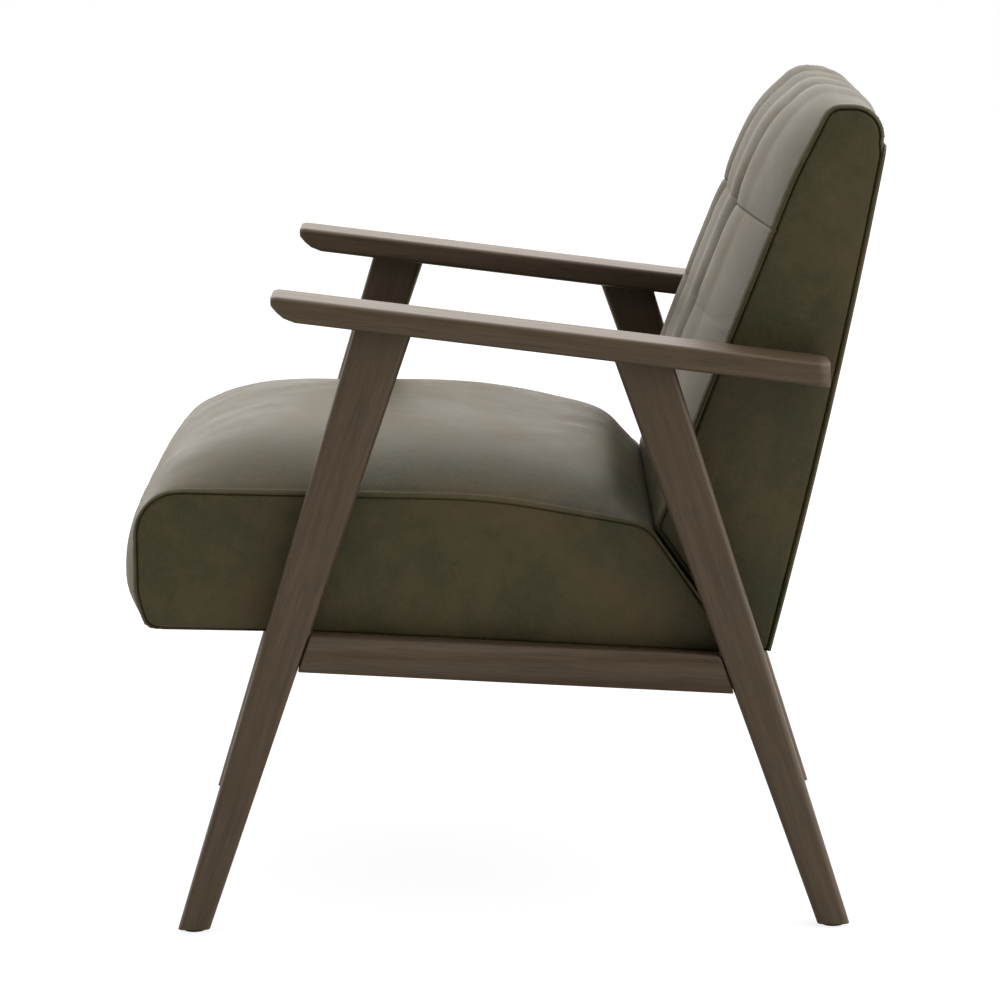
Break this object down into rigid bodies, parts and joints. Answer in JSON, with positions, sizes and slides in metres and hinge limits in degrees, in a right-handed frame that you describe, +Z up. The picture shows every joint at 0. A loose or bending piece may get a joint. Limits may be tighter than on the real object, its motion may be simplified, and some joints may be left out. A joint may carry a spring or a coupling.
{
  "type": "upholstered armchair",
  "caption": "Open-arm lounge chair with raked, tapered wooden legs, sloping wooden armrests, a thick leather box seat and a tufted wedge-shaped leather back.",
  "frame": {"origin": "on the floor, below the centre of the chair's outline in plan", "axes": "X across the chair with the sitter's left at +X, -Y the way the sitter faces, Z up"},
  "size_m": [0.664, 0.7238, 0.7774],
  "materials": {
    "stained_wood": "satin lacquer over dark grey-brown stain",
    "plain_wood": "sawn and unfinished",
    "leather": "waxed, olive green, mottled",
    "foam": "open cell",
    "spring_steel": "drawn wire",
    "bolt_steel": "bright zinc",
    "webbing": "woven",
    "dust_cloth": "non-woven",
    "nylon": "moulded"
  },
  "bodies": {
    "root": {"left_front_leg": "stained_wood", "left_rear_leg": "stained_wood", "right_front_leg": "stained_wood", "right_rear_leg": "stained_wood", "left_armrest": "stained_wood", "right_armrest": "stained_wood", "left_side_rail": "stained_wood", "right_side_rail": "stained_wood", "front_cross_rail": "stained_wood", "rear_cross_rail": "stained_wood", "left_front_arm_dowel": "plain_wood", "left_rear_arm_dowel": "plain_wood", "right_front_arm_dowel": "plain_wood", "right_rear_arm_dowel": "plain_wood", "seat_frame_front": "plain_wood", "seat_frame_rear": "plain_wood", "seat_frame_left": "plain_wood", "seat_frame_right": "plain_wood", "left_back_stile": "plain_wood", "right_back_stile": "plain_wood", "back_top_rail": "plain_wood", "back_bottom_rail": "plain_wood", "seat_top_cover": "leather", "left_seat_side_cover": "leather", "right_seat_side_cover": "leather", "left_seat_welt": "leather", "right_seat_welt": "leather", "back_front_cover": "leather", "left_back_side_cover": "leather", "right_back_side_cover": "leather", "back_rear_cover": "leather", "back_piping": "leather", "seat_foam": "foam", "back_foam": "foam", "seat_spring_1": "spring_steel", "seat_spring_2": "spring_steel", "seat_spring_3": "spring_steel", "seat_spring_4": "spring_steel", "left_front_seat_bolt": "bolt_steel", "left_rear_seat_bolt": "bolt_steel", "right_front_seat_bolt": "bolt_steel", "right_rear_seat_bolt": "bolt_steel", "left_back_bolt": "bolt_steel", "right_back_bolt": "bolt_steel", "back_web_1": "webbing", "back_web_2": "webbing", "back_web_3": "webbing", "seat_dust_cover": "dust_cloth", "left_front_glide": "nylon", "left_rear_glide": "nylon", "right_front_glide": "nylon", "right_rear_glide": "nylon"}
  },
  "joints": []
}
